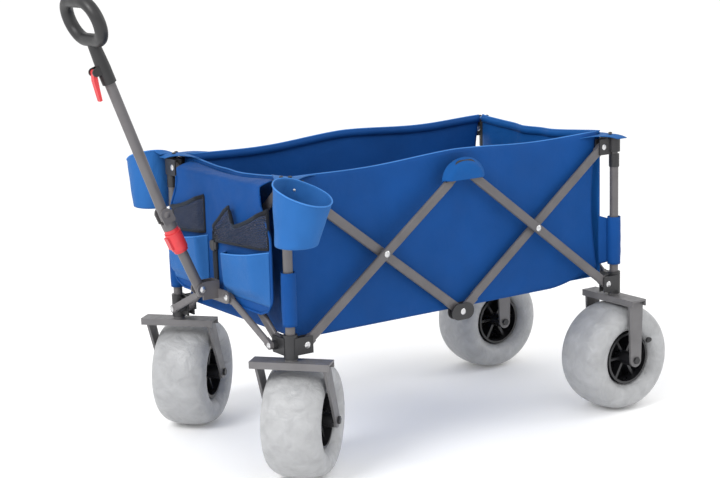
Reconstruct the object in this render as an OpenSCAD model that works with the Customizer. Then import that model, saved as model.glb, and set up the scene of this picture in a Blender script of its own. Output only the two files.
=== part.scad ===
// Folding beach cart: four telescoping corner posts joined by crossed links, a hung fabric tub,
// balloon wheels in forks (the front pair swivel) and a jointed pull handle.
// +X is the handle end, +Y the cart's left, +Z up. The origin is on the ground between the four posts.

/* [Frame] */
// Distance between neighbouring link pivots along the frame
bay = 390; // [360:1:420]
// Height from the lower to the upper link pivots
rise = 300; // [280:1:320]
// Height of the lower link pivots above the ground
pivot_z = 283; // [281:1:300]
// Distance from a post's axis to its link pivots
hub_offset = 29; // [28:1:34]
// Outside diameter of a corner post
post_d = 19; // [16:0.5:20]
// Outside diameter of the inner post that slides up
inner_d = 16; // [13:0.5:16]
// Width of a link
link_w = 20; // [16:1:20]
// Thickness of a link
link_t = 10; // [8:0.5:10]

/* [Wheels] */
// Outside diameter of a balloon tyre
tyre_d = 236; // [220:1:238]
// Width of a balloon tyre
tyre_w = 120; // [100:1:122]
// Diameter of the rim under the tyre
rim_d = 114; // [100:1:120]
// Distance that a front wheel trails behind its swivel
trail = 66; // [50:1:70]
// Angle at which the front wheels stand
swivel_rest = 41; // [0:1:45]
// Outside width of a fork over its arms
fork_w = 142; // [140:1:146]

/* [Handle] */
// Slope of the lower handle tube above the horizontal
lower_slope = 66; // [63:0.5:68]
// Slope of the upper handle tube above the horizontal
upper_slope = 69.3; // [66:0.1:72]
// Length of the lower tube from its pivot to the elbow pin
elbow_s = 175; // [170:1:185]
// Diameter of the handle tubes
handle_d = 21; // [19:0.5:21]
// Distance from the elbow pin to the middle of the grip loop
grip_s = 411; // [400:1:430]
// Width of the grip loop
grip_w = 150; // [130:1:156]

/* [Fabric] */
// Thickness of the tub's cloth panels
cloth_t = 2.5; // [2:0.5:3]
// Height of the cargo floor's top above the ground
floor_z = 303; // [301:1:310]
// Height of the tub's rim
rim_z = 600; // [590:1:606]
// Radius of a cup holder's mouth
cup_r = 53; // [44:1:54]
// Depth of a cup holder
cup_depth = 126; // [100:1:140]

/* [Hidden] */
$fn = 48;

frame_l = 2 * bay + 2 * hub_offset;
frame_w = bay + 2 * hub_offset;
link_len = sqrt(bay * bay + rise * rise);
link_angle = atan(rise / bay);
layer_y = 7;           // middle of a link layer from the post plane
plate_t = 3;           // hub plate
plate_gap = 5.3;       // from a layer's middle to a hub plate
pin_r = 3;
hole_r = 3.08;
fit_gap = 0.05;        // between pieces that are fixed together
tang_t = 4.6;          // half-thickness link end
tang_len = 44;         // length of a half-thickness end
head_r = 6.5;
head_h = 2.4;

hub_r = 14;            // moulding round a post
hub_low = 258;         // underside of a base hub
hub_wall_z = 268;      // top of a base hub's floor, where the post stands
hub_top = 306;
ear_reach = 13;        // moulding past a pivot
ear_h = 34;
post_wall = 1.2;
post_top = 562;
collar_low = 538;
collar_top = 566;
collar_r = 11.3;
floor_t = 5;           // padded floor board of the tub
inner_low = 345;
inner_top = 598;
inner_wall = 1.5;
cap_r = 13;
cap_low = pivot_z + rise - 12;
cap_top = 602;

axle_r = 5;
axle_bore_r = 5.06;
arm_t = 5;
fork_top = 254;
fork_plate_t = 4;
lip_h = 14;
fork_depth = 40;
crossbar_len = 160;
axle_arm_r = 15;
stem_r = 6;
stem_bore_r = 6.06;
stem_top = 292;
boss_r = 15;
tyre_n = 2.5;          // roundness of the balloon's section
section_points = 40;
tyre_skin = 4;

bar_w = 16;            // pull bar
bar_t = 8;
bar_layer = 28;        // middle of a pull bar in front of the post plane
yoke_pin_y = 44;
yoke_pin_z = 352;
bar_dy = frame_w / 2 - hub_offset - yoke_pin_y;
bar_dz = yoke_pin_z - pivot_z;
bar_len = sqrt(bar_dy * bar_dy + bar_dz * bar_dz);
bar_angle = atan(bar_dz / bar_dy);
yoke_x = frame_l / 2 + bar_layer + bar_t / 2 + 0.4;
yoke_plate_t = 4;
handle_x = frame_l / 2 + 70;
handle_z = 368;
cheek_y = 11.2;
cheek_t = 3.5;
handle_pin_r = 4;
elbow_x = handle_x + elbow_s * cos(lower_slope);
elbow_z = handle_z + elbow_s * sin(lower_slope);
tube_wall = 1.5;
lower_end = elbow_s - 18;
collar_s = 90.5;
collar_len = 52;
neck_s = 283;
grip_h = 104;
grip_r = 12.5;         // half the thickness of the loop
trigger_s = 314;
trigger_n = 20;

wall_offset = 18.5;    // cloth inside the post plane
tub_x = frame_l / 2 - wall_offset;
tub_y = frame_w / 2 - wall_offset;
pocket_x = frame_l / 2 + 18.5;
cup_x = frame_l / 2 + 12;
cup_y = frame_w / 2 + 66;
cup_top = 612;

// Corners are [sx, sy]: sx is 1 at the handle end, sy is 1 on the left
RL = [-1, 1];
RR = [-1, -1];
FL = [1, 1];
FR = [1, -1];

// A side panel is drawn on the left, in the XZ plane, with its outside towards +Y
module in_side(sy) mirror([0, sy < 0 ? 1 : 0, 0]) children();

// An end panel is drawn as a side panel is, then turned to the front or rear
module in_end(sx) mirror([sx < 0 ? 1 : 0, 0, 0]) rotate([0, 0, -90]) children();

module at_corner(c) translate([c[0] * frame_l / 2, c[1] * frame_w / 2, 0]) children();

module tube(r, wall, low, top) {
  translate([0, 0, low]) difference() {
    cylinder(r = r, h = top - low);
    translate([0, 0, -1]) cylinder(r = r - wall, h = top - low + 2);
  }
}

// A domed head whose flat side is at 0 and which rises along +Z
module rivet_head(r = head_r, h = head_h) {
  rotate_extrude() intersection() {
    translate([0, h - (r * r + h * h) / (2 * h)]) circle(r = (r * r + h * h) / (2 * h), $fn = 96);
    square([r, h]);
  }
}

// A rivet along Y from y0 to y1, with a head outside each end
module rivet(y0, y1, r = pin_r) {
  translate([0, y0, 0]) rotate([-90, 0, 0]) cylinder(r = r, h = y1 - y0);
  translate([0, y1, 0]) rotate([-90, 0, 0]) rivet_head();
  translate([0, y0, 0]) rotate([90, 0, 0]) rivet_head();
}

module bore_y(r, reach = 60) rotate([90, 0, 0]) cylinder(r = r, h = 2 * reach, center = true);

// One end of a link round its pivot at 0, with half its thickness where tang isn't 0
module link_end(w, t, tang) {
  thick = tang == 0 ? t - 0.6 : tang_t;
  middle = tang * (t / 2 - tang_t / 2);
  reach = tang == 0 ? w : tang_len;
  translate([0, middle, 0]) rotate([90, 0, 0]) cylinder(r = w / 2, h = thick, center = true);
  translate([0, middle - thick / 2, -w / 2]) cube([reach, thick, w]);
}

// A flat-oval bar along X, with round flattened ends
module link_bar(len, w, t, low_tang, high_tang) {
  low = low_tang == 0 ? w * 0.7 : tang_len - 2;
  high = high_tang == 0 ? w * 0.7 : tang_len - 2;
  link_end(w, t, low_tang);
  translate([len, 0, 0]) mirror([1, 0, 0]) link_end(w, t, high_tang);
  translate([low, 0, 0]) rotate([90, 0, 90]) linear_extrude(len - low - high) {
    square([t, w - t], center = true);
    for (s = [-1, 1]) translate([0, s * (w - t) / 2]) circle(d = t);
  }
}

// A link of a crossed pair, drilled at its ends and middle
module cross_link(low_tang, high_tang) {
  difference() {
    link_bar(link_len, link_w, link_t, low_tang, high_tang);
    bore_y(hole_r);
    translate([link_len, 0, 0]) bore_y(hole_r);
    translate([link_len / 2, 0, 0]) bore_y(hole_r);
  }
}

// Puts a link in a panel whose posts stand at plane: it rises from x_low, towards dir
module place_link(x_low, dir, layer, plane) {
  translate([x_low, plane + layer * layer_y, pivot_z]) mirror([dir < 0 ? 1 : 0, 0, 0])
    rotate([0, -link_angle, 0]) children();
}

// An outer link carries the crossing's rivet and spacer
module outer_link(x_low, dir, plane, low_tang, high_tang) {
  place_link(x_low, dir, 1, plane) {
    cross_link(low_tang, high_tang);
    translate([link_len / 2, 0, 0]) rivet(-2 * layer_y - link_t / 2, link_t / 2);
    translate([link_len / 2, -link_t / 2, 0]) rotate([90, 0, 0]) difference() {
      cylinder(r = 8, h = 2 * layer_y - link_t - 0.3);
      translate([0, 0, -1]) cylinder(r = pin_r + fit_gap, h = 10);
    }
  }
}

module inner_link(x_low, dir, plane, low_tang, high_tang) {
  place_link(x_low, dir, -1, plane) cross_link(low_tang, high_tang);
}

module side_link(sy, bay_sx, outer) {
  color("dimgray") in_side(sy) {
    if (outer) outer_link(bay_sx * bay, -bay_sx, frame_w / 2, 0, -bay_sx);
    if (!outer) inner_link(0, bay_sx, frame_w / 2, -bay_sx, 0);
  }
}

module end_link(sx, outer) {
  color("dimgray") in_end(sx) {
    if (outer) outer_link(-bay / 2, 1, frame_l / 2, 0, 0);
    if (!outer) inner_link(bay / 2, -1, frame_l / 2, 0, 0);
  }
}

// The two plates of a hub that hold a link's end, drawn in a panel's frame
module ear(x_post, dir, layer, plane, z) {
  for (s = [-1, 1])
    translate([x_post, plane + layer * layer_y + s * (plate_gap + plate_t / 2), z])
      mirror([dir < 0 ? 1 : 0, 0, 0]) translate([0, -plate_t / 2, -ear_h / 2])
        cube([hub_offset + ear_reach, plate_t, ear_h]);
}

module ear_bore(x_post, dir, plane, z) translate([x_post + dir * hub_offset, plane, z]) bore_y(pin_r + fit_gap);

module ear_rivet(x_post, dir, layer, plane, z) {
  reach = plate_gap + plate_t;
  translate([x_post + dir * hub_offset, plane + layer * layer_y, z]) rivet(-reach, reach);
}

// The layer in which a corner's end link lies, at the bottom of the post
function end_layer(c) = c[1];

module hub_shell(c, z, side_layer, end_l) {
  in_side(c[1]) ear(c[0] * frame_l / 2, -c[0], side_layer, frame_w / 2, z);
  in_end(c[0]) ear(-c[1] * frame_w / 2, c[1], end_l, frame_l / 2, z);
}

module hub_bores(c, z) {
  in_side(c[1]) ear_bore(c[0] * frame_l / 2, -c[0], frame_w / 2, z);
  in_end(c[0]) ear_bore(-c[1] * frame_w / 2, c[1], frame_l / 2, z);
}

// Boss and long rivet that carry a pull bar in front of a base hub
module bar_boss(c) {
  start = end_layer(c) * layer_y + plate_gap + plate_t;
  in_end(1) translate([-c[1] * bay / 2, frame_l / 2 + start, pivot_z]) rotate([-90, 0, 0])
    cylinder(r = 9, h = bar_layer - bar_t / 2 - 0.3 - start);
}

module base_hub(c) {
  front = c[0] > 0;
  color("black") {
    difference() {
      union() {
        at_corner(c) translate([0, 0, hub_low]) cylinder(r = hub_r, h = hub_top - hub_low);
        hub_shell(c, pivot_z, 1, end_layer(c));
        if (front) bar_boss(c);
      }
      at_corner(c) translate([0, 0, hub_wall_z]) cylinder(d = post_d + 2 * fit_gap, h = 60);
      at_corner(c) translate([0, 0, hub_low - 1]) cylinder(r = stem_bore_r, h = 20);
      hub_bores(c, pivot_z);
    }
    at_corner(c) difference() {
      translate([0, 0, collar_low]) cylinder(r = collar_r, h = collar_top - collar_low);
      translate([0, 0, collar_low - 1]) cylinder(d = post_d + 2 * fit_gap, h = post_top - collar_low + 1);
      cylinder(d = inner_d + 0.4, h = collar_top + 1);
    }
  }
  color("silver") {
    in_side(c[1]) ear_rivet(c[0] * frame_l / 2, -c[0], 1, frame_w / 2, pivot_z);
    in_end(c[0]) {
      if (!front) ear_rivet(-c[1] * frame_w / 2, c[1], end_layer(c), frame_l / 2, pivot_z);
      if (front) translate([-c[1] * bay / 2, frame_l / 2, pivot_z])
        rivet(end_layer(c) * layer_y - plate_gap - plate_t, bar_layer + bar_t / 2 + 0.3);
    }
  }
}

module top_hub(c) {
  z = pivot_z + rise;
  color("black") difference() {
    union() {
      at_corner(c) translate([0, 0, cap_low]) cylinder(r = cap_r, h = cap_top - cap_low);
      at_corner(c) translate([0, 0, cap_top]) rivet_head(cap_r, 3);
      hub_shell(c, z, -1, -end_layer(c));
    }
    at_corner(c) translate([0, 0, z - 24]) cylinder(d = inner_d + 2 * fit_gap, h = inner_top - z + 24);
    hub_bores(c, z);
  }
  color("silver") {
    in_side(c[1]) ear_rivet(c[0] * frame_l / 2, -c[0], -1, frame_w / 2, z);
    in_end(c[0]) ear_rivet(-c[1] * frame_w / 2, c[1], -end_layer(c), frame_l / 2, z);
  }
}

module post_tube(c) color("gray") at_corner(c) tube(post_d / 2, post_wall, hub_wall_z, post_top);

module inner_post(c) color("silver") at_corner(c) tube(inner_d / 2, inner_wall, inner_low, inner_top);

// A hub where two bays meet: two oval plates and their one rivet
module mid_hub(sy, layer, z) {
  in_side(sy) translate([0, frame_w / 2 + layer * layer_y, z]) {
    color("black") for (s = [-1, 1]) difference() {
      translate([0, s * (plate_gap + plate_t / 2), 0]) rotate([90, 0, 0])
        linear_extrude(plate_t, center = true) {
          square([22, 34], center = true);
          for (e = [-1, 1]) translate([e * 11, 0]) circle(d = 34);
        }
      bore_y(pin_r + fit_gap);
    }
    color("silver") rivet(-plate_gap - plate_t, plate_gap + plate_t);
  }
}

// A fork drawn with its swivel at 0, rolling towards +X
module fork_shape(back) {
  arm_y = fork_w / 2 - arm_t / 2;
  axle_z = tyre_d / 2;
  difference() {
    union() {
      translate([-fork_depth / 2, -crossbar_len / 2, fork_top - fork_plate_t])
        cube([fork_depth, crossbar_len, fork_plate_t]);
      for (s = [-1, 1]) translate([s > 0 ? fork_depth / 2 - 3 : -fork_depth / 2, -crossbar_len / 2, fork_top - lip_h])
        cube([3, crossbar_len, lip_h]);
      for (s = [-1, 1]) translate([0, s * arm_y, 0]) rotate([90, 0, 0]) linear_extrude(arm_t, center = true) {
        polygon([
          [-fork_depth / 2, fork_top], [fork_depth / 2, fork_top],
          [axle_arm_r - back, axle_z], [-axle_arm_r - back, axle_z]
        ]);
        translate([-back, axle_z]) circle(r = axle_arm_r);
      }
      translate([0, 0, fork_top - fork_plate_t]) cylinder(r = stem_r, h = stem_top - fork_top + fork_plate_t);
      translate([0, 0, fork_top]) cylinder(r = 12, h = hub_low - fork_top - 0.3);
    }
    translate([-back, 0, axle_z]) bore_y(axle_r + fit_gap, 90);
  }
  // axle bolt with its head and nut, and a spacer beside each arm
  translate([-back, 0, axle_z]) rotate([90, 0, 0]) {
    cylinder(r = axle_r, h = fork_w, center = true);
    for (s = [-1, 1]) translate([0, 0, s * (fork_w / 2 + 2.5)]) cylinder(r = 8, h = 5, center = true, $fn = 6);
  }
}

module fork(c) {
  color("gray") at_corner(c) {
    if (c[0] > 0) rotate([0, 0, swivel_rest]) fork_shape(trail);
    if (c[0] < 0) fork_shape(0);
  }
}

// Puts a wheel drawn on the Y axis at its corner
module place_wheel(c) {
  at_corner(c) rotate([0, 0, c[0] > 0 ? swivel_rest : 0])
    translate([c[0] > 0 ? -trail : 0, 0, tyre_d / 2]) rotate([90, 0, 0]) children();
}

// Half a balloon's section: a superellipse between the rim and the tread
function swell(a, n) = sign(a) * pow(abs(a), 2 / n);
module balloon_section(inset = 0) {
  seat = rim_d / 2 + 0.3 + inset;
  middle = (tyre_d / 2 + rim_d / 2) / 2;
  half = (tyre_d / 2 - rim_d / 2) / 2 + 1 - inset;
  intersection() {
    polygon([for (i = [0:section_points - 1]) let (a = 360 * (i + 0.5) / section_points)
      [middle - 1 + half * swell(cos(a), tyre_n), (tyre_w / 2 - inset) * swell(sin(a), tyre_n)]]);
    translate([seat, -tyre_w]) square([tyre_d, 2 * tyre_w]);
  }
}

// The balloon is a sealed skin round its air
module tyre(c) color("lightgray") place_wheel(c) rotate_extrude($fn = 96) difference() {
  balloon_section();
  balloon_section(tyre_skin);
}

module wheel_rim(c) {
  barrel = rim_d / 2;
  color([0.1, 0.1, 0.11]) place_wheel(c) difference() {
    union() {
      difference() {
        cylinder(r = barrel, h = 92, center = true);
        for (s = [-1, 1]) translate([0, 0, s * 29]) cylinder(r = barrel - 5, h = 50, center = true);
      }
      cylinder(r = 15, h = 2 * (fork_w / 2 - arm_t) - 4, center = true);
      for (i = [0:5]) rotate([0, 0, 60 * i]) translate([8, -3, -34]) cube([barrel - 10, 6, 68]);
    }
    cylinder(r = axle_bore_r, h = 200, center = true);
  }
}

module bar_shape() {
  difference() {
    link_bar(bar_len, bar_w, bar_t, 0, 0);
    bore_y(hole_r);
    children();
  }
}

module place_bar(sy) {
  in_end(1) translate([-sy * bay / 2, frame_l / 2 + bar_layer, pivot_z])
    mirror([sy < 0 ? 1 : 0, 0, 0]) rotate([0, -bar_angle, 0]) children();
}

module pull_bar_left() color("gray") place_bar(1) bar_shape() translate([bar_len, 0, 0]) bore_y(hole_r);

// The right bar's stud stops at the yoke's back
module pull_bar_right() {
  color("gray") place_bar(-1) {
    bar_shape() translate([bar_len, 0, 0]) bore_y(pin_r + fit_gap);
    translate([bar_len, -bar_t / 2, 0]) rotate([-90, 0, 0]) cylinder(r = pin_r, h = bar_t);
    translate([bar_len, -bar_t / 2 + 0.3, 0]) rotate([90, 0, 0]) rivet_head();
  }
}

module yoke() {
  plate_w = 2 * yoke_pin_y + 26;
  face = yoke_x + yoke_plate_t;
  color("gray") difference() {
    union() {
      translate([yoke_x, 0, yoke_pin_z]) rotate([90, 0, 90]) linear_extrude(yoke_plate_t) {
        square([2 * yoke_pin_y, 26], center = true);
        for (s = [-1, 1]) translate([s * yoke_pin_y, 0]) circle(d = 26);
        translate([-15, 0]) square([30, 30]);
      }
      for (s = [-1, 1]) translate([face - 1, s * (cheek_y + cheek_t / 2) - cheek_t / 2, yoke_pin_z - 6])
        cube([handle_x - face + 1, cheek_t, 36]);
      for (s = [-1, 1]) translate([handle_x, s * (cheek_y + cheek_t / 2), handle_z]) rotate([90, 0, 0])
        cylinder(r = 12, h = cheek_t, center = true);
    }
    translate([handle_x, 0, handle_z]) bore_y(handle_pin_r + fit_gap);
    translate([yoke_x - 10, yoke_pin_y, yoke_pin_z]) rotate([0, 90, 0]) cylinder(r = pin_r + fit_gap, h = 30);
  }
  color("silver") {
    in_end(1) translate([-yoke_pin_y, 0, yoke_pin_z])
      rivet(frame_l / 2 + bar_layer - bar_t / 2 - 0.3, yoke_x + yoke_plate_t);
    translate([face, -yoke_pin_y, yoke_pin_z]) rotate([0, 90, 0]) rivet_head();
    translate([handle_x, 0, handle_z]) rivet(-cheek_y - cheek_t, cheek_y + cheek_t, handle_pin_r);
  }
}

// Places a piece of the handle with its axis along Z, from the yoke pin or the elbow pin
module on_lower() translate([handle_x, 0, handle_z]) rotate([0, 90 - lower_slope, 0]) children();
module on_upper() translate([elbow_x, 0, elbow_z]) rotate([0, 90 - upper_slope, 0]) children();

module handle_lower_tube() {
  r = handle_d / 2;
  on_lower() {
    color("gray") difference() {
      tube(r, tube_wall, -14, lower_end);
      bore_y(handle_pin_r + 0.06);
    }
    // elbow clevis
    color("gray") difference() {
      union() {
        translate([0, 0, lower_end - 14]) cylinder(r = 14.7, h = 15);
        for (s = [-1, 1]) translate([-13, s * (cheek_y + cheek_t / 2) - cheek_t / 2, lower_end])
          cube([26, cheek_t, 22]);
        for (s = [-1, 1]) translate([0, s * (cheek_y + cheek_t / 2), elbow_s]) rotate([90, 0, 0])
          cylinder(r = 13, h = cheek_t, center = true);
      }
      translate([0, 0, lower_end - 15]) cylinder(r = r + fit_gap, h = 17);
      translate([0, 0, elbow_s]) bore_y(pin_r + fit_gap);
    }
    color("silver") translate([0, 0, elbow_s]) rivet(-cheek_y - cheek_t, cheek_y + cheek_t);
  }
}

module lock_collar() {
  color("red") on_lower() difference() {
    union() {
      translate([0, 0, collar_s]) cylinder(r = 14.5, h = collar_len);
      translate([0, 0, collar_s + 6]) cylinder(r = 16.5, h = collar_len - 14);
      translate([9, -8, collar_s + 12]) cube([10, 16, 26]);
    }
    translate([0, 0, collar_s - 1]) cylinder(r = handle_d / 2 + 0.3, h = collar_len + 2);
  }
}

module handle_upper_tube() {
  color("gray") on_upper() difference() {
    tube(handle_d / 2, tube_wall, -12, grip_s - grip_h / 2 - 10);
    bore_y(pin_r + 0.06);
  }
}

// A round-section loop in the XY plane, longer along Y
module grip_loop() {
  bend = grip_h / 2 - grip_r;
  straight = grip_w - grip_h;
  for (s = [-1, 1]) {
    translate([0, s * straight / 2, 0]) rotate([0, 0, s > 0 ? 0 : 180]) rotate_extrude(angle = 180, $fn = 96)
      translate([bend, 0]) circle(r = grip_r, $fn = 32);
    translate([s * bend, 0, 0]) rotate([90, 0, 0]) cylinder(r = grip_r, h = straight, center = true, $fn = 32);
  }
}

module grip() {
  ring_low = grip_s - grip_h / 2;
  color([0.09, 0.09, 0.1]) on_upper() {
    difference() {
      union() {
        translate([0, 0, neck_s]) cylinder(r = 14, h = 32);
        translate([0, 0, neck_s + 32]) cylinder(r1 = 14, r2 = 11.5, h = ring_low + grip_r - neck_s - 32);
        translate([0, 0, grip_s]) rotate([0, 90, 0]) grip_loop();
        for (s = [-1, 1]) translate([8, s * 8.4 - 1.5, trigger_s - 8]) cube([trigger_n - 8, 3, 16]);
        for (s = [-1, 1]) translate([trigger_n, s * 8.4, trigger_s]) rotate([90, 0, 0])
          cylinder(r = 8, h = 3, center = true);
      }
      translate([0, 0, neck_s - 1]) cylinder(r = handle_d / 2 + fit_gap, h = ring_low - neck_s - 8.9);
      translate([trigger_n, 0, trigger_s]) bore_y(2 + fit_gap);
    }
    translate([trigger_n, 0, trigger_s]) rotate([90, 0, 0]) cylinder(r = 2, h = 19.8, center = true);
  }
}

module trigger() {
  color("red") on_upper() translate([trigger_n, 0, trigger_s]) difference() {
    union() {
      rotate([90, 0, 0]) cylinder(r = 5.6, h = 13, center = true);
      rotate([90, 0, 0]) linear_extrude(12, center = true)
        polygon([[-1, -2], [5, 2], [10, -14], [12, -34], [14, -54], [9, -54], [5, -32], [1, -14]]);
    }
    bore_y(2.06);
  }
}

module wall_x(sy) {
  color("royalblue") translate([-tub_x, sy > 0 ? tub_y - cloth_t : -tub_y, floor_z - floor_t])
    cube([2 * tub_x, cloth_t, rim_z - floor_z + floor_t]);
}

module wall_y(sx) {
  inner = tub_y - cloth_t - 0.3;
  color("royalblue") translate([sx > 0 ? tub_x - cloth_t : -tub_x, -inner, floor_z - floor_t])
    cube([cloth_t, 2 * inner, rim_z - floor_z + floor_t]);
}

module tub_floor() {
  half_x = tub_x - cloth_t - fit_gap;
  half_y = tub_y - cloth_t - fit_gap;
  color("midnightblue") translate([-half_x, -half_y, floor_z - floor_t]) cube([2 * half_x, 2 * half_y, floor_t]);
}

module cup_holder(sy) {
  low = cup_top - cup_depth;
  color("royalblue") translate([cup_x, sy * cup_y, low]) rotate_extrude() polygon([
    [0, 0], [cup_r - 6, 0], [cup_r, cup_depth], [cup_r - cloth_t, cup_depth], [cup_r - 8.5, cloth_t], [0, cloth_t]
  ]);
}

// One pouch, open at its top, standing on the panel's face
module pouch(y0, y1, z0, z1, depth) {
  translate([pocket_x + cloth_t - 0.5, y0, z0]) difference() {
    cube([depth, y1 - y0, z1 - z0]);
    translate([0.5, cloth_t, cloth_t]) cube([depth - cloth_t - 0.5, y1 - y0 - 2 * cloth_t, z1 - z0]);
  }
}

module front_pockets() {
  color("royalblue") {
    translate([pocket_x, -200, 333]) cube([cloth_t, 400, 262]);
    pouch(26, 192, 368, 452, 22);
    pouch(-192, -44, 368, 452, 22);
    pouch(-20, 192, 460, 526, 14);
    pouch(-186, -52, 460, 526, 14);
  }
}

post_tube(RL);  // post_tube_rl
post_tube(RR);  // post_tube_rr
post_tube(FL);  // post_tube_fl
post_tube(FR);  // post_tube_fr
inner_post(RL);  // inner_post_rl
inner_post(RR);  // inner_post_rr
inner_post(FL);  // inner_post_fl
inner_post(FR);  // inner_post_fr
base_hub(RL);  // base_hub_rl
base_hub(RR);  // base_hub_rr
base_hub(FL);  // base_hub_fl
base_hub(FR);  // base_hub_fr
top_hub(RL);  // top_hub_rl
top_hub(RR);  // top_hub_rr
top_hub(FL);  // top_hub_fl
top_hub(FR);  // top_hub_fr
side_link(1, -1, true);  // link_left_rear_outer
side_link(1, -1, false);  // link_left_rear_inner
side_link(1, 1, true);  // link_left_front_outer
side_link(1, 1, false);  // link_left_front_inner
side_link(-1, -1, true);  // link_right_rear_outer
side_link(-1, -1, false);  // link_right_rear_inner
side_link(-1, 1, true);  // link_right_front_outer
side_link(-1, 1, false);  // link_right_front_inner
end_link(-1, true);  // link_rear_outer
end_link(-1, false);  // link_rear_inner
end_link(1, true);  // link_front_outer
end_link(1, false);  // link_front_inner
mid_hub(1, 1, pivot_z + rise);  // mid_top_hub_left
mid_hub(1, -1, pivot_z);  // mid_bottom_hub_left
mid_hub(-1, 1, pivot_z + rise);  // mid_top_hub_right
mid_hub(-1, -1, pivot_z);  // mid_bottom_hub_right
fork(RL);  // fork_rl
fork(RR);  // fork_rr
fork(FL);  // fork_fl
fork(FR);  // fork_fr
wheel_rim(RL);  // rim_rl
wheel_rim(RR);  // rim_rr
wheel_rim(FL);  // rim_fl
wheel_rim(FR);  // rim_fr
tyre(RL);  // tyre_rl
tyre(RR);  // tyre_rr
tyre(FL);  // tyre_fl
tyre(FR);  // tyre_fr
pull_bar_left();
pull_bar_right();
yoke();
handle_lower_tube();
lock_collar();
handle_upper_tube();
grip();
trigger();
wall_x(1);  // tub_left
wall_x(-1);  // tub_right
wall_y(1);  // tub_front
wall_y(-1);  // tub_rear
tub_floor();
cup_holder(1);  // cup_holder_left
cup_holder(-1);  // cup_holder_right
front_pockets();
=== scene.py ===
import math
import bpy
from mathutils import Matrix, Vector, noise


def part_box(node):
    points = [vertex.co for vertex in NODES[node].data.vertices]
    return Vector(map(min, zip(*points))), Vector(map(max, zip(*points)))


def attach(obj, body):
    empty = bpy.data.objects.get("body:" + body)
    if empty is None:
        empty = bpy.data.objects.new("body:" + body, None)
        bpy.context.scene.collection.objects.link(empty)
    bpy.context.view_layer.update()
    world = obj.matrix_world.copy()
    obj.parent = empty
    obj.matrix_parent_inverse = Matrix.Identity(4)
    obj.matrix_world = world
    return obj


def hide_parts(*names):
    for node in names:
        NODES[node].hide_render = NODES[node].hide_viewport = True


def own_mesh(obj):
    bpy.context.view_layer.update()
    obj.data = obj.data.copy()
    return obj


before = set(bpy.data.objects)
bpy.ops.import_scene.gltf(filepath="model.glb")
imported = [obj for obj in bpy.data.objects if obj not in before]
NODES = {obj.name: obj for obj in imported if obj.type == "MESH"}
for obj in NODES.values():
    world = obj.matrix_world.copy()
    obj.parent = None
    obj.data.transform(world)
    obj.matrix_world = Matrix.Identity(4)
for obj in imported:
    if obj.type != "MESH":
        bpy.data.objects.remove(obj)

for spare in ("Cube", "Light", "Camera"):
    if spare in bpy.data.objects:
        bpy.data.objects.remove(bpy.data.objects[spare])
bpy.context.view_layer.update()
SCENE = bpy.context.scene
PI = math.pi
CORNERS = (("rl", -1, 1), ("rr", -1, -1), ("fl", 1, 1), ("fr", 1, -1))     # name, side along x, side along y

# ---------------------------------------------------------------- camera and light


LENS_MM, SENSOR_MM = 83.5, 36
CAMERA_AT = (2.049, 2.864, 1.114)
CAMERA_FORWARD = (-0.5517, -0.8102, -0.1978)
CAMERA_ROLL = -1.62     # degrees


def make_camera():
    """The photo's three-quarter view from the front left."""
    data = bpy.data.cameras.new("camera")
    data.lens = LENS_MM
    data.sensor_width = SENSOR_MM
    data.clip_start, data.clip_end = 0.05, 50
    cam = bpy.data.objects.new("camera", data)
    SCENE.collection.objects.link(cam)
    forward = Vector(CAMERA_FORWARD).normalized()
    right = forward.cross(Vector((0, 0, 1))).normalized()
    up = right.cross(forward)
    roll = math.radians(CAMERA_ROLL)
    right_r = right * math.cos(roll) + up * math.sin(roll)
    up_r = up * math.cos(roll) - right * math.sin(roll)
    cam.matrix_world = Matrix.Translation(CAMERA_AT) @ Matrix(
        (right_r, up_r, -forward)).transposed().to_4x4()
    SCENE.camera = cam


def area_light(name, at, target, size, power):
    data = bpy.data.lights.new(name, "AREA")
    data.shape, data.size, data.energy = "SQUARE", size, power
    lamp = bpy.data.objects.new(name, data)
    SCENE.collection.objects.link(lamp)
    lamp.location = at
    lamp.rotation_euler = (Vector(target) - Vector(at)).to_track_quat("-Z", "Y").to_euler()


def make_light():
    world = bpy.data.worlds.new("studio")
    world.use_nodes = True
    world.node_tree.nodes["Background"].inputs[0].default_value = (1, 1, 1, 1)
    world.node_tree.nodes["Background"].inputs[1].default_value = 1.0
    SCENE.world = world
    area_light("key", (3.3, 0.9, 2.7), (0, 0, 0.4), 1.4, 84)
    area_light("side", (0.6, 3.2, 2.4), (0, 0, 0.4), 1.8, 10)
    area_light("rim", (-2.6, 1.2, 2.2), (0, 0, 0.5), 1.6, 16)
    SCENE.view_settings.view_transform = "Standard"


make_camera()
make_light()

# ---------------------------------------------------------------- materials


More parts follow.
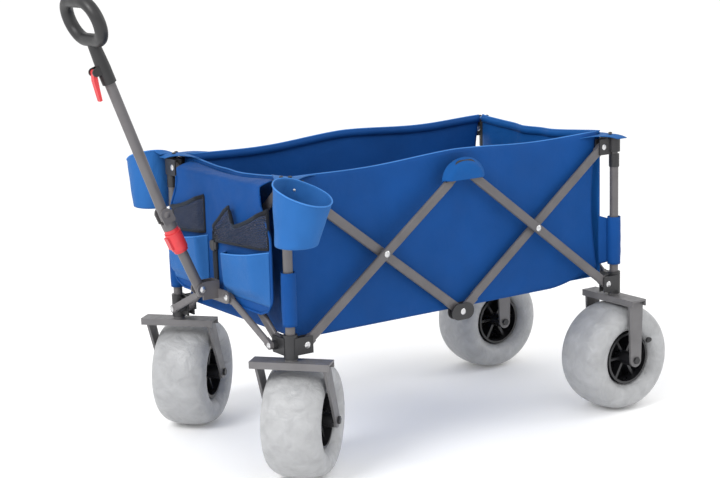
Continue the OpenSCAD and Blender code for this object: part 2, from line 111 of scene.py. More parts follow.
class Mat:
    """A Principled material in object coordinates, which are metres in the part's own frame."""

    def __init__(self, name, color, rough, metal=0.0):
        self.m = bpy.data.materials.new(name)
        self.m.use_nodes = True
        self.t = self.m.node_tree
        self.b = self.t.nodes["Principled BSDF"]
        self.color = (*color, 1)
        self.b.inputs["Base Color"].default_value = self.color
        self.b.inputs["Roughness"].default_value = rough
        self.b.inputs["Metallic"].default_value = metal
        self.m.diffuse_color = self.color
        self.xyz = self.t.nodes.new("ShaderNodeTexCoord").outputs["Object"]
        self.normal = None

    def node(self, kind, **sockets):
        n = self.t.nodes.new(kind)
        for k, v in sockets.items():
            n.inputs[k].default_value = v
        return n

    def link(self, a, b):
        self.t.links.new(a, b)

    def noise(self, scale, detail=3.0, distortion=0.0):
        n = self.node("ShaderNodeTexNoise", Scale=scale, Detail=detail, Distortion=distortion)
        self.link(self.xyz, n.inputs["Vector"])
        return n.outputs["Fac"]

    def wave(self, scale, direction, distortion=0.0):
        n = self.node("ShaderNodeTexWave", Scale=scale, Distortion=distortion)
        n.bands_direction = direction
        self.link(self.xyz, n.inputs["Vector"])
        return n.outputs["Fac"]

    def ramp(self, fac, lo, hi, a, b):
        n = self.t.nodes.new("ShaderNodeMapRange")
        for i, v in zip(range(1, 5), (lo, hi, a, b)):
            n.inputs[i].default_value = v
        self.link(fac, n.inputs[0])
        return n.outputs[0]

    def vary_color(self, fac, low, high, lo=0.3, hi=0.7):
        mix = self.t.nodes.new("ShaderNodeMix")
        mix.data_type = "RGBA"
        mix.inputs["A"].default_value = tuple(c * low for c in self.color[:3]) + (1,)
        mix.inputs["B"].default_value = tuple(min(1, c * high) for c in self.color[:3]) + (1,)
        self.link(self.ramp(fac, lo, hi, 0, 1), mix.inputs["Factor"])
        self.link(mix.outputs["Result"], self.b.inputs["Base Color"])

    def vary_rough(self, fac, a, b):
        self.link(self.ramp(fac, 0.3, 0.7, a, b), self.b.inputs["Roughness"])

    def bump(self, fac, distance, strength=1.0):
        n = self.node("ShaderNodeBump", Strength=strength, Distance=distance)
        self.link(fac, n.inputs["Height"])
        if self.normal:
            self.link(self.normal, n.inputs["Normal"])
        self.normal = n.outputs["Normal"]
        self.link(self.normal, self.b.inputs["Normal"])

    def add(self, a, b):
        n = self.t.nodes.new("ShaderNodeMath")
        n.operation = "ADD"
        self.link(a, n.inputs[0])
        self.link(b, n.inputs[1])
        return n.outputs[0]


def paint(name, color, rough):
    m = Mat(name, color, rough, 0.15)
    m.vary_color(m.noise(22, 4), 0.88, 1.12)
    m.vary_rough(m.noise(60, 3), rough - 0.07, rough + 0.09)
    m.bump(m.noise(900, 2), 0.0003, 0.35)
    return m.m


def plastic(name, color, rough, grain=0.3):
    m = Mat(name, color, rough)
    m.vary_color(m.noise(30, 3), 0.85, 1.2)
    m.vary_rough(m.noise(45, 3), rough - 0.06, rough + 0.08)
    m.bump(m.noise(1300, 2), 0.0003, grain)
    return m.m


WEAVE = 300             # scale of the threads' waves


def cloth(name, color, rough=0.62, wrinkle=0.006, sheen=0.02):
    m = Mat(name, color, rough)
    m.b.inputs["Sheen Weight"].default_value = sheen
    m.b.inputs["Sheen Roughness"].default_value = 0.5
    m.b.inputs["Sheen Tint"].default_value = (0.35, 0.6, 1, 1)
    m.b.inputs["Specular IOR Level"].default_value = 0.12
    m.vary_color(m.noise(7, 4), 0.9, 1.12)
    m.vary_rough(m.noise(25, 3), rough - 0.07, rough + 0.07)
    m.bump(m.noise(11, 3, 0.6), wrinkle, 0.55)
    threads = m.add(m.wave(WEAVE, "X"), m.add(m.wave(WEAVE, "Y"), m.wave(WEAVE, "Z")))
    m.bump(threads, 0.0003, 0.3)
    return m.m


def balloon():
    m = Mat("balloon", (0.36, 0.364, 0.372), 0.4)
    m.vary_color(m.noise(34, 5, 0.8), 0.88, 1.1)
    m.vary_rough(m.noise(30, 3), 0.34, 0.52)
    m.bump(m.noise(30, 5, 1.6), 0.006, 0.6)
    m.bump(m.noise(400, 2), 0.0003, 0.3)
    return m.m


def mesh_net():
    """Black net: threads with open diamonds between them."""
    m = Mat("pocket_mesh", (0.018, 0.022, 0.035), 0.7)
    threads = m.add(m.wave(100, "Y"), m.wave(100, "Z"))
    clear = m.t.nodes.new("ShaderNodeBsdfTransparent")
    mix = m.t.nodes.new("ShaderNodeMixShader")
    m.link(m.ramp(threads, 0.95, 1.25, 0.2, 0.8), mix.inputs[0])
    m.link(clear.outputs[0], mix.inputs[1])
    m.link(m.b.outputs[0], mix.inputs[2])
    m.link(mix.outputs[0], m.t.nodes["Material Output"].inputs[0])
    m.bump(threads, 0.0004, 0.5)
    return m.m


FRAME = paint("frame_paint", (0.108, 0.102, 0.106), 0.4)
FORK = paint("fork_paint", (0.135, 0.131, 0.135), 0.42)
INNER = paint("inner_post_paint", (0.085, 0.082, 0.086), 0.36)
NYLON = plastic("hub_nylon", (0.018, 0.018, 0.02), 0.42)
RIM = plastic("rim_black", (0.012, 0.012, 0.014), 0.3, 0.15)
RED = plastic("red_plastic", (0.52, 0.03, 0.036), 0.38)
GRIP = plastic("grip_rubber", (0.012, 0.012, 0.013), 0.45)
BALLOON = balloon()
BLUE = cloth("canvas", (0.004, 0.056, 0.225))
BLUE_IN = cloth("canvas_lining", (0.005, 0.075, 0.27), wrinkle=0.009)
# Painted light: a lighter copy of the canvas with more sheen, a painted highlight for the lit faces of the
# cups, pouches and corner flaps.
CANVAS_PAINTED_LIGHT = cloth("canvas_painted_light", (0.018, 0.105, 0.32), wrinkle=0.009, sheen=0.08)
TRIM = cloth("trim_black", (0.012, 0.013, 0.016), wrinkle=0.002, sheen=0.1)
HEM = cloth("hem_thread", (0.05, 0.19, 0.5), wrinkle=0.002)
NET = mesh_net()


def steel():
    m = Mat("bright_steel", (0.6, 0.6, 0.61), 0.3, 0.95)
    m.vary_rough(m.noise(150, 3), 0.22, 0.4)
    m.bump(m.noise(700, 2), 0.0002, 0.3)
    return m.m


STEEL = steel()

# ---------------------------------------------------------------- places, all from the CAD


def centre(node):
    lo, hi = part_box(node)
    return (lo + hi) / 2


def post_at(sx, sy):
    """A corner post's axis, in plan."""
    return (XF if sx > 0 else XR), (YL if sy > 0 else YR)


XF = centre("post_tube_fl").x
XR = centre("post_tube_rl").x
YL = centre("post_tube_fl").y
YR = centre("post_tube_fr").y
TUB_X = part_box("tub_left")[1].x
TUB_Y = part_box("tub_left")[1].y
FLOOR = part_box("tub_floor")[1].z
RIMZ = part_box("tub_left")[1].z
HUBZ = centre("mid_top_hub_left").z
PIVZ = centre("mid_bottom_hub_left").z
POCKET_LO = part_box("front_pockets")[0]
LINK_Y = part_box("mid_top_hub_left")[1].y
CUP = {s: centre("cup_holder_" + s) for s in ("left", "right")}
CUP_LO, CUP_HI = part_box("cup_holder_left")
CUP_RIM = CUP_HI.z - 0.020
HUB_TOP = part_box("top_hub_fl")[1].z
CLOSE = 0.2541          # how far one bay closes at full fold

# ---------------------------------------------------------------- CAD nodes: materials


def smooth_cad(o, mat, extra=()):
    """Smooth shading below 32 degrees, with the vertices where they are."""
    mesh = o.data
    mesh.materials.clear()
    for m in (mat, *extra):
        mesh.materials.append(m)
    mesh.polygons.foreach_set("material_index", [0] * len(mesh.polygons))
    custom = mesh.attributes.get("custom_normal")
    if custom:
        mesh.attributes.remove(custom)
    mesh.polygons.foreach_set("use_smooth", [True] * len(mesh.polygons))
    weld = o.modifiers.new("weld", "WELD")
    weld.merge_threshold = 2e-6
    split = o.modifiers.new("split", "EDGE_SPLIT")
    split.split_angle = math.radians(32)


def paint_heads(o, at, axis, radius, beyond, index=1):
    """Rivet heads and nuts: what is near an axis and further along it than the plates."""
    at, axis = Vector(at), Vector(axis).normalized()
    for p in o.data.polygons:
        d = p.center - at
        t = d.dot(axis)
        if (d - axis * t).length < radius and beyond(t):
            p.material_index = index


def finish_cad():
    for name, o in NODES.items():
        if name.startswith(("post_tube", "link_", "pull_bar", "yoke", "handle_")):
            smooth_cad(o, FRAME, (STEEL,))
        elif name.startswith("fork"):
            smooth_cad(o, FORK, (NYLON,))
        elif name.startswith("inner_post"):
            smooth_cad(o, INNER)
        elif name.startswith(("base_hub", "top_hub", "mid_")):
            smooth_cad(o, NYLON, (STEEL,))
        elif name.startswith("rim"):
            smooth_cad(o, RIM, (STEEL,))
        elif name.startswith("tyre"):
            smooth_cad(o, BALLOON)
        elif name in ("lock_collar", "trigger"):
            smooth_cad(o, RED)
        elif name == "grip":
            smooth_cad(o, GRIP)
        else:
            smooth_cad(o, BLUE)
    heads()


HUB_INSET = 0.029       # from a post's axis to the rivets in its hubs
HUB_LAYER = 0.007       # from there to the plane of the link that the hub holds
RIVET_R, YOKE_PIN_R, AXLE_NUT_R = 0.0066, 0.0067, 0.0095
# how far the plates reach from the middle, so that what lies beyond is a head or a nut
HUB_FACE, LINK_FACE, YOKE_FACE, BAR_FACE, FORK_FACE = 0.00835, 0.01205, 0.01475, 0.03645, 0.07105
BASE_HUB_FRONT = 0.0325
HANDLE_PIVOT_Z = 0.368
HANDLE_PIVOT_BACK = 0.012       # from the yoke's front edge to the handle's pivot
STUD_Y = 0.044
STUD_UP = 0.0345        # from the middle of a pull bar up to its stud


def past(face):
    return lambda t: abs(t) > face


def heads():
    for c, sx, sy in CORNERS:
        x, y = post_at(sx, sy)
        for part, z, layer, end in (("base_hub_", PIVZ, 1, sy), ("top_hub_", HUBZ, -1, -sy)):
            o = NODES[part + c]
            mid = HUB_LAYER * layer
            paint_heads(o, (x - sx * HUB_INSET, y + sy * mid, z), (0, sy, 0), RIVET_R, past(HUB_FACE))
            mid_e = HUB_LAYER * end
            far = BASE_HUB_FRONT - mid_e if part == "base_hub_" and sx > 0 else HUB_FACE
            paint_heads(o, (x + sx * mid_e, y - sy * HUB_INSET, z), (sx, 0, 0), RIVET_R,
                        lambda t, far=far: t > far or t < -HUB_FACE)
    middle = (PIVZ + HUBZ) / 2
    for side, s in (("left", 1), ("right", -1)):
        y = YL if s > 0 else YR
        for hub, dy, z in (("mid_top_hub_", HUB_LAYER, HUBZ), ("mid_bottom_hub_", -HUB_LAYER, PIVZ)):
            paint_heads(NODES[hub + side], (0, y + s * dy, z), (0, 1, 0), RIVET_R, past(HUB_FACE))
        for bay in ("rear", "front"):
            o = NODES[f"link_{side}_{bay}_outer"]
            paint_heads(o, (centre(o.name).x, y, middle), (0, s, 0), RIVET_R, past(LINK_FACE))
    for end, x, sx in (("rear", XR, -1), ("front", XF, 1)):
        paint_heads(NODES[f"link_{end}_outer"], (x, 0, middle), (sx, 0, 0), RIVET_R, past(LINK_FACE))
    pivot_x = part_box("yoke")[1].x - HANDLE_PIVOT_BACK
    paint_heads(NODES["yoke"], (pivot_x, 0, HANDLE_PIVOT_Z), (0, 1, 0), YOKE_PIN_R, past(YOKE_FACE))
    for s in (-1, 1):
        stud_z = centre("pull_bar_left").z + STUD_UP
        paint_heads(NODES["yoke"], (XF, s * STUD_Y, stud_z), (1, 0, 0), YOKE_PIN_R, lambda t: t > BAR_FACE)
    for c, sx, sy in CORNERS:
        wheel = centre("rim_" + c)
        if sx < 0:
            axle = (0, 1, 0)
        else:
            roll = (Vector((*post_at(sx, sy), wheel.z)) - wheel).normalized()
            axle = (-roll.y, roll.x, 0)
        paint_heads(NODES["fork_" + c], wheel, axle, AXLE_NUT_R, past(FORK_FACE))


finish_cad()

# ---------------------------------------------------------------- Blender pieces


def mesh_object(name, verts, faces, mat):
    mesh = bpy.data.meshes.new(name)
    mesh.from_pydata([tuple(v) for v in verts], [], faces)
    mesh.polygons.foreach_set("use_smooth", [True] * len(mesh.polygons))
    mesh.materials.append(mat)
    o = bpy.data.objects.new(name, mesh)
    SCENE.collection.objects.link(o)
    return o


def bake(o):
    """Applies the modifiers, so that the mesh is final."""
    bpy.context.view_layer.update()
    done = bpy.data.meshes.new_from_object(o.evaluated_get(bpy.context.evaluated_depsgraph_get()))
    o.modifiers.clear()
    o.data = done
    return o


def place(o, body, squash=None, slot="canvas"):
    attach(o, body)
    if squash:
        axis, anchor, keep = squash
        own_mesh(o)
        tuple(axis)
        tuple(anchor)
    return o


def sheet(name, fn, nu, nv, body, mat=BLUE, squash=None, held="hung", rests=(), thick=0.0016,
          wrap=False, slot="canvas", offset=-1.0):
    """A cloth panel from fn(u, v), with its real thickness."""
    verts = [fn(i / nu, j / nv) for j in range(nv + 1) for i in range(nu + (0 if wrap else 1))]
    row = nu if wrap else nu + 1
    faces = []
    for j in range(nv):
        for i in range(nu):
            a, b = j * row + i, j * row + (i + 1) % row
            faces.append((a, b, b + row, a + row))
    o = mesh_object(name, verts, faces, mat)
    rows = [[verts[j * row + i % row] for i in range(nu + 1)] for j in range(nv + 1)]
    width = sum((q - p).length for r in rows for p, q in zip(r, r[1:])) / len(rows)
    solid = o.modifiers.new("cloth", "SOLIDIFY")
    solid.thickness, solid.offset = thick, offset
    bake(o)
    place(o, body, squash, slot)
    list(rests)
    return o


def ribbon(name, path, radius, body, mat, squash=None, slot="trim_black", closed=False, squeeze=1.0):
    """A bound edge or hem: a flattened tube along a path of points."""
    n, sides = len(path), 8
    verts, faces = [], []
    for i, p in enumerate(path):
        a = path[(i - 1) % n] if closed or i else p
        b = path[(i + 1) % n] if closed or i < n - 1 else p
        d = (b - a).normalized()
        side = d.cross(Vector((0, 0, 1)) if abs(d.z) < 0.9 else Vector((1, 0, 0))).normalized()
        up = side.cross(d)
        for k in range(sides):
            t = 2 * PI * k / sides
            verts.append(p + side * radius * squeeze * math.cos(t) + up * radius * math.sin(t))
    for i in range(n if closed else n - 1):
        for k in range(sides):
            a, b = i * sides + k, i * sides + (k + 1) % sides
            c, d = ((i + 1) % n) * sides + (k + 1) % sides, ((i + 1) % n) * sides + k
            faces.append((a, b, c, d))
    if not closed:
        faces.append(tuple(range(sides))[::-1])
        faces.append(tuple((n - 1) * sides + k for k in range(sides)))
    return place(mesh_object(name, verts, faces, mat), body, squash, slot)


def dome(name, at, axis, radius, flat, mat, body, slot):
    """A domed head: a sphere flattened along its axis."""
    bpy.ops.mesh.primitive_uv_sphere_add(segments=20, ring_count=10, radius=radius)
    o = bpy.context.object
    o.name = name
    turn = Vector((0, 0, 1)).rotation_difference(Vector(axis).normalized()).to_matrix().to_4x4()
    o.matrix_world = Matrix.Translation(at) @ turn @ Matrix.Diagonal((1, 1, flat, 1))
    bpy.ops.object.transform_apply(location=False, rotation=False, scale=True)
    o.data.materials.append(mat)
    bpy.ops.object.shade_smooth()
    return place(o, body, slot=slot)


def n3(x, y, z, scale):
    return noise.noise(Vector((x, y, z)) * scale)


def lerp(a, b, t):
    return a + (b - a) * t


def ease(t):
    t = max(0.0, min(1.0, t))
    return t * t * (3 - 2 * t)


def close_x(rear, front):
    """Axis, anchor and kept share for a piece from rear to front, for both bays closing with its margins at
    the ends the same.
    """
    return (1, 0, 0), (rear, 0, 0), 1 - 2 * CLOSE / (front - rear)


def close_y(half):
    return (0, 1, 0), (0, half, 0), 1 - CLOSE / (2 * half)


SIDE_REAR, SIDE_FRONT = -TUB_X + 0.014, TUB_X - 0.002
END_HALF = TUB_Y - 0.004
PANEL_HALF = 0.199
FLOOR_HALF = TUB_Y - 0.008
SQ_X = close_x(SIDE_REAR, SIDE_FRONT)
SQ_Y = close_y(END_HALF)
SQ_PANEL = close_y(0.180)
SQ_FLOOR = close_y(FLOOR_HALF)


def rim_height(x):
    """Height of a side's rim: up at the posts and the middle hub, lower between them."""
    s = (x - XR) / (XF - XR)
    if s < 0.5:
        base = lerp(RIMZ + 0.014, RIMZ + 0.016, s / 0.5)
    else:
        base = lerp(RIMZ + 0.016, RIMZ + 0.003, (s - 0.5) / 0.5)
    return base - 0.007 * math.sin(2 * PI * s) ** 2


BELOW_TURN, TURN = 0.94, 0.06   # shares of a panel: its face, and the hem turned over the rim


def turn_rim(v, high, z, depth):
    """The hem at the top of a panel turns inwards over the rim and hangs down behind it."""
    if v > BELOW_TURN:
        turn = (v - BELOW_TURN) / TURN
        z = high + 0.002 * math.sin(PI * turn) - 0.02 * max(0, turn - 0.3)
        depth += 0.006 * min(1, turn * 2)
    return z, depth


RIM_HEM_V, RIM_HEM_R = 0.945, 0.0014


def side_panel(sy):
    def fn(u, v):
        x = lerp(SIDE_REAR, SIDE_FRONT, u)
        low = FLOOR - 0.013 + 0.022 * ease((-0.25 - x) / 0.14)
        high = rim_height(x)
        body = min(1.0, v / BELOW_TURN)
        z = lerp(low, high, body)
        # the rear edge curves in towards the middle
        x += 0.016 * (1 - u) ** 6 * math.sin(PI * body)
        k = math.sin(PI * body) * math.sin(PI * u) ** 0.5
        depth = 0.002 + 0.0028 * (1 + n3(x, sy * 3, z, 7)) * k + 0.0012 * (1 + n3(x, sy * 5, z, 26)) * k
        depth += 0.004 * body ** 4 * math.sin(2 * PI * u) ** 2
        z, depth = turn_rim(v, high, z, depth)
        return Vector((x, sy * (TUB_Y - depth), z))
    name = "left" if sy > 0 else "right"
    body = "top_rl" if sy > 0 else "top_rr"
    o = sheet("side_panel_" + name, fn, 120, 50, body, squash=SQ_X, held="hung",
              rests=["top_hub_rl", "top_hub_fl"] if sy > 0 else ["top_hub_rr", "top_hub_fr"])
    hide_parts("tub_" + name)
    path = [fn(i / 60, RIM_HEM_V) + Vector((0, sy * 0.0005, 0.001)) for i in range(61)]
    ribbon("rim_hem_" + name, path, RIM_HEM_R, body, HEM, SQ_X, "canvas")
    path = [fn(i / 60, 0.0) + Vector((0, -sy * 0.001, 0)) for i in range(61)]
    ribbon("bottom_hem_" + name, path, 0.0026, body, BLUE, SQ_X, "canvas")


def end_panel(sx):
    def fn(u, v):
        y = lerp(END_HALF, -END_HALF, u)
        low = FLOOR - 0.010
        sag = 0.014 if sx > 0 else 0.010
        high = RIMZ + (0.004 if sx > 0 else 0.014) - sag * math.sin(PI * u) ** 1.3
        body = min(1.0, v / BELOW_TURN)
        z = lerp(low, high, body)
        rough = 0.006 if sx < 0 else 0.003
        k = math.sin(PI * u) ** 0.5 * ease(body * 5)
        depth = 0.002 + rough * (1 + n3(y, sx * 9, z * 0.6, 9)) * k + 0.004 * body * math.sin(PI * u) ** 2
        folds = 1 + math.sin(46 * y + 5 * z + 2.5 * n3(y, 1, z, 8))
        depth += (0.0045 if sx < 0 else 0.002) * folds * k * body
        z, depth = turn_rim(v, high, z, depth)
        return Vector((sx * (TUB_X - depth), y, z))
    name = "front" if sx > 0 else "rear"
    body = "top_fl" if sx > 0 else "top_rl"
    o = sheet("end_panel_" + name, fn, 70, 44, body, squash=SQ_Y, held="hung",
              mat=BLUE_IN if sx < 0 else BLUE,
              rests=["top_hub_fl", "top_hub_fr"] if sx > 0 else ["top_hub_rl", "top_hub_rr"])
    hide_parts("tub_" + name)
    path = [fn(i / 40, RIM_HEM_V) + Vector((sx * 0.0005, 0, 0.001)) for i in range(41)]
    ribbon("rim_hem_" + name, path, RIM_HEM_R, body, HEM, SQ_Y, "canvas")


def floor_panels():
    """Three floor panels that slide over one another as the frame folds, each a step above the last."""
    third, lap, gap, step = 0.1355, 0.012, 0.004, 0.0022
    spans = (("rear", -TUB_X + gap, -third + lap, "top_rl", 0.0),
             ("middle", -third, third, "mid_top_left", step),
             ("front", third - lap, TUB_X - gap, "top_fl", 2 * step))
    for name, x0, x1, body, lift in spans:
        def fn(u, v, x0=x0, x1=x1, lift=lift):
            x, y = lerp(x0, x1, u), lerp(-FLOOR_HALF, FLOOR_HALF, v)
            return Vector((x, y, FLOOR - 0.0068 + lift + 0.0004 * n3(x, y, 0, 12)))
        o = sheet("floor_panel_" + name, fn, 24, 30, body, mat=BLUE_IN, squash=SQ_FLOOR, held="laid",
                  rests=["tub_floor"], thick=0.0018)
        if name == "middle":
            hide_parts("tub_floor")


THIN_CLOTH = 0.0014


def hub_patch(side, sy):
    """The half-round flap sewn over a middle hub, with the links coming out below it."""
    y0 = TUB_Y + 0.0005
    y1 = abs(LINK_Y if sy > 0 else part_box("mid_top_hub_right")[0].y) + 0.0035

    def fn(u, v):
        a = PI * u
        w = 0.060 * (1 - 0.10 * v)
        x = -w * math.cos(a) * v
        top = HUBZ + 0.021
        z = HUBZ - 0.022 + (top - HUBZ + 0.022) * math.sin(a) * v
        edge = ease((1 - v) * 3.2)
        y = lerp(y1 - 0.014, y1, edge) + 0.0012 * n3(x, 2, z, 40)
        return Vector((x, sy * y, z))
    sheet("hub_patch_" + side, fn, 36, 14, "mid_top_" + side, mat=BLUE_IN, held="stretched",
          rests=["mid_top_hub_" + side], thick=THIN_CLOTH)


def sleeve(corner, sx, sy):
    """A cloth sleeve round a corner post, joined to the tub by a web."""
    x, y = post_at(sx, sy)
    z0, z1 = PIVZ + 0.040, PIVZ + 0.145
    body = "top_" + corner
    inward = math.atan2(-sy, -sx)

    def tube(u, v):
        a = inward + PI + 2 * PI * u
        crease = n3(math.cos(a) * 3, math.sin(a) * 3, v * 4, 1.5)
        r = 0.0136 + 0.0008 * crease + 0.0008 * math.sin(PI * v)
        return Vector((x + r * math.cos(a), y + r * math.sin(a), lerp(z0, z1, v)))
    sheet("sleeve_" + corner, tube, 28, 16, body, wrap=True, held="stretched", rests=["post_tube_" + corner],
          thick=0.0012, offset=0.0)

    def web(u, v):
        a = Vector((x + 0.0135 * math.cos(inward), y + 0.0135 * math.sin(inward), 0))
        b = Vector((sx * (TUB_X - 0.007), sy * (TUB_Y - 0.004), 0))
        p = a.lerp(b, u)
        z = lerp(z0 + 0.004 - 0.006 * u, z1 - 0.004 + 0.006 * u, v)
        return Vector((p.x + 0.001 * math.sin(3 * v), p.y, z))
    sheet("sleeve_web_" + corner, web, 6, 16, body, held="stretched", rests=["post_tube_" + corner],
          thick=THIN_CLOTH)


def corner_flap(corner, sx, sy):
    """The rim's corner lies over the top hub, with a short point outside it."""
    x, y = post_at(sx, sy)
    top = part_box("top_hub_" + corner)[1].z + 0.0018
    body = "top_" + corner

    def fn(u, v):
        # across the corner and outwards, from the rim to the point
        s = 2 * u - 1
        inner = Vector((sx * (TUB_X - 0.004), sy * (TUB_Y - 0.003), 0))
        ex, ey = Vector((-sx, 0, 0)), Vector((0, -sy, 0))
        along = (ex * max(0, s) + ey * max(0, -s)) * 0.062
        start = inner + along
        out = Vector((x + sx * 0.018, y + sy * 0.020, 0))
        tip = out + along * 0.42
        p = start.lerp(tip, v)
        z = top + 0.0015 * math.sin(PI * v) - 0.007 * v ** 4 - 0.003 * abs(s) * (1 - v) ** 2
        return Vector((p.x, p.y, z))
    # painted highlight: the flap uses the lighter copy of the canvas
    sheet("corner_flap_" + corner, fn, 24, 14, body, mat=CANVAS_PAINTED_LIGHT, held="stretched",
          rests=["top_hub_" + corner], thick=THIN_CLOTH, offset=1.0)
    for k, (dx, dy) in enumerate(((-0.012, 0.0), (0.0, -0.012))):
        at = (x + sx * dx, y + sy * dy, top + 0.0032)
        dome(f"flap_screw_{corner}_{k}", at, (0, 0, 1), 0.0042, 0.5, NYLON, body, "hub_nylon")


CUP_BASE_R, CUP_MOUTH_R = 0.0405, 0.0552
CUP_BASE = 0.16         # share of the cup's cloth that is its base


def cup_holder(side, sy):
    """A hung cloth cup: its mouth slants down outwards and its base is drawn in."""
    c = CUP[side]
    low = CUP_LO.z
    lean = Vector((-0.43, sy * 0.90, 0))
    ahead = Vector((0.81, -sy * 0.55, 0))
    body = "top_fl" if sy > 0 else "top_fr"
    post = Vector((XF - c.x, (YL if sy > 0 else YR) - c.y, 0)).normalized()

    def fn(u, v):
        a = 2 * PI * u
        d = Vector((math.cos(a), math.sin(a), 0))
        up = max(0.0, (v - CUP_BASE) / (1 - CUP_BASE))
        r = lerp(CUP_BASE_R, CUP_MOUTH_R, up ** 0.9) + 0.0016 * n3(d.x * 2, d.y * 2 + sy, v * 3, 1.3)
        if v < CUP_BASE:
            t = v / CUP_BASE
            r = CUP_BASE_R * math.sin(t * PI / 2)
            z = low + 0.001 + 0.006 * (1 - math.cos(t * PI / 2))
        else:
            z = lerp(low + 0.007, CUP_RIM - 0.0226 * d.dot(lean), up)
        # the mouth is pressed flat on the post's side
        r *= 1 - 0.19 * up * max(0, d.dot(post)) ** 2
        return Vector((c.x, c.y, z)) + ahead * lerp(0.007, -0.007, up) + d * r
    # painted highlight: the cup uses the lighter copy of the canvas
    o = sheet("cup_" + side, fn, 56, 40, body, mat=CANVAS_PAINTED_LIGHT, wrap=True, held="hung",
              rests=["top_hub_f" + side[0]])
    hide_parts("cup_holder_" + side)
    path = [fn(i / 56, 1.0) for i in range(56)]
    ribbon("cup_rim_" + side, path, 0.0015, body, HEM, slot="canvas", closed=True)

    back = math.atan2(post.y, post.x)

    def flap(u, v):
        # cloth from the mouth's back up to the corner
        p = fn(((back + (u - 0.5) * 1.25) / (2 * PI)) % 1, 1.0)
        out = Vector((-post.x, -post.y, 0))
        across = Vector((-out.y, out.x, 0))
        corner = Vector((XF, YL if sy > 0 else YR, 0)) + out * 0.0135 + across * (0.5 - u) * 0.036
        q = p.lerp(corner, v)
        return Vector((q.x, q.y, lerp(p.z - 0.0015, HUB_TOP + 0.001, v)))
    # painted highlight: the flap uses the lighter copy of the canvas
    sheet("cup_flap_" + side, flap, 14, 8, body, mat=CANVAS_PAINTED_LIGHT, held="stretched",
          rests=["top_hub_f" + side[0]], thick=THIN_CLOTH)
    at = Vector((c.x - 0.0165, c.y - sy * 0.0405, 0.589))
    dome("cup_rivet_" + side, at, -post, 0.0045, 0.5, STEEL, body, "bright_steel")


PANEL_FACE = 0.86       # share of the organizer panel below the part that goes over the rim
PANEL_CORNER_R = 0.045
BUCKLE_Y, BUCKLE_Z = -0.013, 0.448


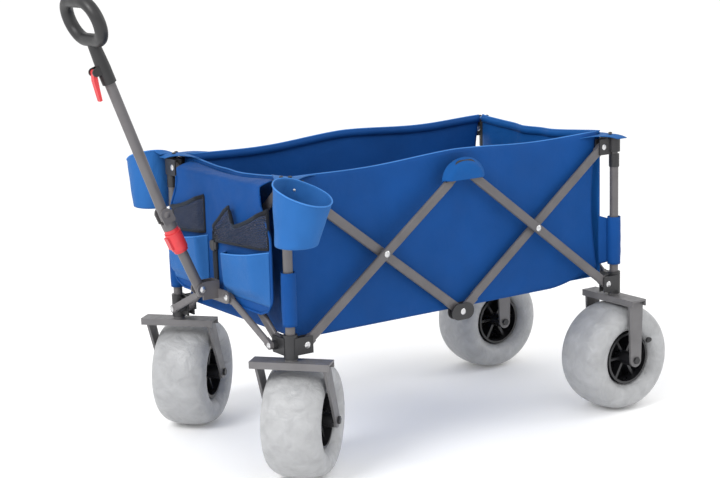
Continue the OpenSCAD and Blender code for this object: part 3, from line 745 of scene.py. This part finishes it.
def organizer():
    """The panel hung on the front, with its pouches, nets, bindings and strap."""
    x0 = POCKET_LO.x + 0.001
    bottom = POCKET_LO.z + 0.004
    top = RIMZ - 0.006

    def half(z):
        r = PANEL_CORNER_R
        wide = PANEL_HALF - 0.034 * ease((z - 0.485) / 0.08)
        return wide if z > bottom + r else wide - r * (1 - math.sqrt(max(0, 1 - ((bottom + r - z) / r) ** 2)))

    def base(u, v):
        if v < PANEL_FACE:
            z = lerp(bottom, top - 0.006, v / PANEL_FACE)
            x = x0 + 0.0008 * (1 + n3(u * 6, 0, z * 6, 1.1))
        else:
            t = (v - PANEL_FACE) / (1 - PANEL_FACE)
            z = top - 0.006 + 0.008 * math.sin(t * PI / 2) - 0.010 * math.sin(PI * u) ** 1.3 * t
            x = lerp(x0, TUB_X + 0.001, t)
        return Vector((x, lerp(1, -1, u) * half(z), z))
    front = {"body": "top_fl", "squash": SQ_PANEL}
    o = sheet("organizer_panel", base, 60, 48, held="hung", rests=["tub_front"], offset=0.0, **front)
    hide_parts("front_pockets")
    down = [(0, 0.8 - 0.8 * i / 24) for i in range(25)]
    along = [(i / 30, 0) for i in range(1, 30)]
    up = [(1, 0.8 * i / 24) for i in range(25)]
    path = [base(u, v) + Vector((0.001, 0, 0)) for u, v in down + along + up]
    ribbon("organizer_edge", path, 0.0026, mat=BLUE, slot="canvas", **front)

    # name, y from and to, height of the top at each, height of the bottom, how soon each side fills out
    pouches = (("left", 0.026, 0.192, 0.440, 0.463, 0.356, 0.30, 0.10),
               ("right", -0.192, -0.044, 0.444, 0.463, 0.354, 0.14, 0.10))
    for name, y0, y1, top0, top1, z0, near, far in pouches:
        def pouch(u, v, y0=y0, y1=y1, top0=top0, top1=top1, z0=z0, near=near, far=far):
            y = lerp(y1, y0, u)
            z = lerp(z0, lerp(top1, top0, u) - 0.003 * math.sin(PI * u), v)
            edge = min(ease(u / near), ease((1 - u) / far))
            low = ease(v / 0.3)
            x = x0 + 0.0015 + 0.0205 * edge * low * (0.7 + 0.3 * v)
            x += 0.0012 * n3(y, 5, z, 32) * edge
            return Vector((x, y, z))
        # painted highlight: the pouches use the lighter copy of the canvas
        sheet("pouch_" + name, pouch, 44, 22, held="hung", rests=["front_pockets"], mat=CANVAS_PAINTED_LIGHT,
              thick=0.0013, **front)
        path = [pouch(i / 40, 1.0) for i in range(41)]
        ribbon("pouch_hem_" + name, path, 0.0016, mat=HEM, slot="canvas", **front)

    # name, y from and to, height of the base at each, and the upper edge as (y, z) in the same order
    nets = (("left", -0.020, 0.192, 0.458, 0.469,
             ((-0.020, 0.476), (0.048, 0.527), (0.066, 0.538), (0.083, 0.500), (0.192, 0.545))),
            ("right", -0.186, -0.052, 0.458, 0.469,
             ((-0.186, 0.505), (-0.070, 0.536), (-0.052, 0.543))))
    for name, y0, y1, low0, low1, edge_line in nets:
        def net(u, v, y0=y0, y1=y1, low0=low0, low1=low1, edge_line=edge_line):
            y = lerp(y1, y0, u)
            high = edge_line[-1][1]
            for (ya, za), (yb, zb) in zip(edge_line, edge_line[1:]):
                if ya <= y < yb:
                    t = (y - ya) / (yb - ya)
                    high = lerp(za, zb, t) - 0.16 * (yb - ya) * t * (1 - t)
            z = lerp(lerp(low1, low0, u), high, v)
            edge = ease(min(u, 1 - u) / 0.12)
            x = x0 + 0.0015 + 0.013 * edge * (0.55 + 0.45 * v)
            return Vector((x, y, z))
        sheet("net_" + name, net, 64, 20, held="hung", rests=["front_pockets"], mat=NET, thick=0.0009,
              slot="pocket_mesh", **front)
        path = [net(i / 64, 1.0) for i in range(65)]
        ribbon("net_binding_" + name, path, 0.0042, mat=TRIM, squeeze=0.6, **front)
        for tag, u in (("a", 0.0), ("b", 1.0)):
            path = [net(u, i / 10) for i in range(11)]
            ribbon(f"net_side_{name}_{tag}", path, 0.0034, mat=TRIM, squeeze=0.6, **front)
        path = [net(i / 44, 0.0) for i in range(45)]
        ribbon("net_base_" + name, path, 0.0028, mat=TRIM, squeeze=0.6, **front)

    def strap(u, v):
        z = lerp(0.372, 0.470, v)
        return Vector((x0 + 0.0022 + 0.001 * math.sin(PI * v), lerp(-0.004, -0.022, u), z))
    sheet("strap", strap, 4, 24, held="hung", rests=["front_pockets"], mat=TRIM, thick=0.0018,
          slot="trim_black", **front)
    buckle = []
    for x, w, h, d in ((x0 + 0.006, 0.026, 0.016, 0.007), (x0 + 0.0075, 0.014, 0.022, 0.006)):
        bpy.ops.mesh.primitive_cube_add(size=1, location=(x, BUCKLE_Y, BUCKLE_Z))
        b = bpy.context.object
        b.scale = (d, w, h)
        bevel = b.modifiers.new("bevel", "BEVEL")
        bevel.width, bevel.segments = 0.002, 3
        buckle.append(b)
    for k, b in enumerate(buckle):
        b.name = f"strap_buckle_{k}"
        bpy.ops.object.select_all(action="DESELECT")
        bpy.context.view_layer.objects.active = b
        b.select_set(True)
        bpy.ops.object.transform_apply(location=False, rotation=False, scale=True)
        b.data.materials.append(NYLON)
        bake(b)
        place(b, slot="hub_nylon", **front)


VALVE_OUT, VALVE_SIDE = 0.071, 0.0505      # from the wheel's centre, along a spoke and along the axle
VALVE_SIZE = (0.0075, 0.0135, 0.005, 1)


def valve(corner, sy):
    """The black valve recess on a tyre's sidewall, just outside the rim."""
    wheel = centre("rim_" + corner)
    rear = corner[0] == "r"
    post = Vector((XR if rear else XF, YL if corner[1] == "l" else YR, wheel.z))
    roll = Vector((1, 0, 0)) if rear else (post - wheel).normalized()
    out = Vector((-roll.y, roll.x, 0)) * sy
    angle = math.radians(150 if rear else 60)
    spoke = roll * math.cos(angle) + Vector((0, 0, 1)) * math.sin(angle)
    at = wheel + spoke * VALVE_OUT + out * VALVE_SIDE
    bpy.ops.mesh.primitive_uv_sphere_add(segments=24, ring_count=12, radius=1)
    o = bpy.context.object
    o.name = "valve_" + corner
    turn = Matrix((spoke.cross(out), spoke, out)).transposed().to_4x4()
    o.matrix_world = Matrix.Translation(at) @ turn @ Matrix.Diagonal(VALVE_SIZE)
    bpy.ops.object.shade_smooth()
    bpy.ops.object.transform_apply(location=False, rotation=False, scale=True)
    o.data.materials.append(RIM)
    place(o, "wheel_" + corner, slot="rim_plastic")


side_panel(1)
side_panel(-1)
end_panel(1)
end_panel(-1)
floor_panels()
hub_patch("left", 1)
hub_patch("right", -1)
for tag, sx, sy in CORNERS:
    sleeve(tag, sx, sy)
    corner_flap(tag, sx, sy)
    valve(tag, sy)
cup_holder("left", 1)
cup_holder("right", -1)
organizer()

# ---------------------------------------------------------------- floor


def make_floor():
    bpy.ops.mesh.primitive_plane_add(size=60, location=(0, 0, -0.0005))
    floor = bpy.context.object
    floor.name = "studio_floor"
    m = Mat("studio_white", (0.96, 0.96, 0.96), 0.8)
    m.vary_color(m.noise(1.5, 2), 0.99, 1.0)
    m.b.inputs["Emission Color"].default_value = (1, 1, 1, 1)
    m.b.inputs["Emission Strength"].default_value = 0.07
    floor.data.materials.append(m.m)


make_floor()
